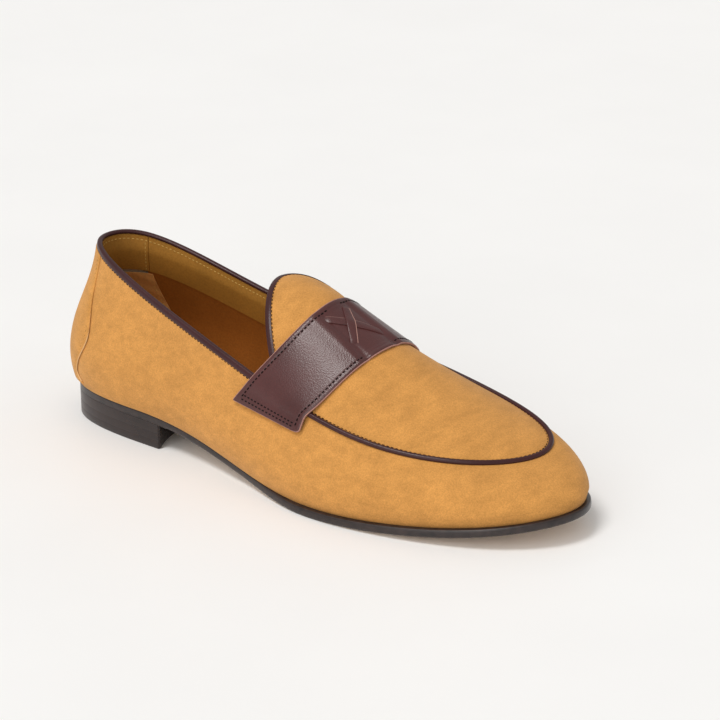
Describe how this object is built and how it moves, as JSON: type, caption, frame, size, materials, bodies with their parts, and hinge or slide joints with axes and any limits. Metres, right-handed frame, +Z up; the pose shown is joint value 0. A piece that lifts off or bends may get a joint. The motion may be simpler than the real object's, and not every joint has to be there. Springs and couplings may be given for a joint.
{
  "type": "penny loafer",
  "caption": "Low slip-on shoe with a suede upper, a saddle strap with crossed bands over the instep, a corded apron seam, a leather sole and a low stacked heel.",
  "frame": {"origin": "on the floor, under the middle of the shoe's overall length and width", "axes": "+X to the toe, +Y to the inner (medial) side of this right shoe, +Z up"},
  "size_m": [0.298, 0.1007, 0.0899],
  "materials": {
    "sole_leather": "pale oak-bark sole leather, satin, black-brown inked edge",
    "sole_rubber": "matte black rubber",
    "heel_leather": "stacked leather, inked and polished",
    "nail_steel": "plain wire",
    "nail_brass": "plain",
    "shank_steel": "rolled strip",
    "cork": "ground cork in paste",
    "insole_leather": "undyed board",
    "sock_leather": "smooth tan lining leather",
    "foam": "soft latex foam",
    "pad_leather": "smooth light tan lining leather",
    "suede": "brushed caramel suede, soft nap",
    "lining_leather": "orange-brown lining leather",
    "facing_leather": "smooth olive-tan lining leather",
    "stiffener_board": "pressed leatherboard",
    "trim_leather": "dark burgundy-brown, semi-gloss",
    "strap_leather": "dark burgundy-brown, polished, fine grain",
    "backing_leather": "raw flesh side",
    "dark_thread": "waxed thread",
    "tan_thread": "waxed thread",
    "pale_thread": "linen lockstitch thread"
  },
  "bodies": {
    "root": {"outsole": "sole_leather", "forefoot_insert": "sole_rubber", "heel_lift_upper": "heel_leather", "heel_lift_lower": "heel_leather", "top_piece": "sole_rubber", "heel_nails": "nail_steel", "top_piece_nails": "nail_brass", "shank": "shank_steel", "cork_filler": "cork", "insole_board": "insole_leather", "sock": "sock_leather", "heel_foam": "foam", "heel_pad": "pad_leather", "skirt": "suede", "apron": "suede", "vamp_lining": "lining_leather", "facing_lateral": "facing_leather", "facing_medial": "facing_leather", "heel_grip": "pad_leather", "apron_lining": "lining_leather", "heel_counter": "stiffener_board", "toe_puff": "stiffener_board", "back_strip": "suede", "topline_binding": "trim_leather", "tongue_binding": "trim_leather", "piping": "trim_leather", "strap": "strap_leather", "strap_backing": "backing_leather", "cross_band_under": "strap_leather", "cross_band_over": "strap_leather", "topline_thread": "dark_thread", "apron_thread": "dark_thread", "strap_thread": "dark_thread", "back_strip_thread": "tan_thread", "sole_thread": "pale_thread"}
  },
  "joints": []
}
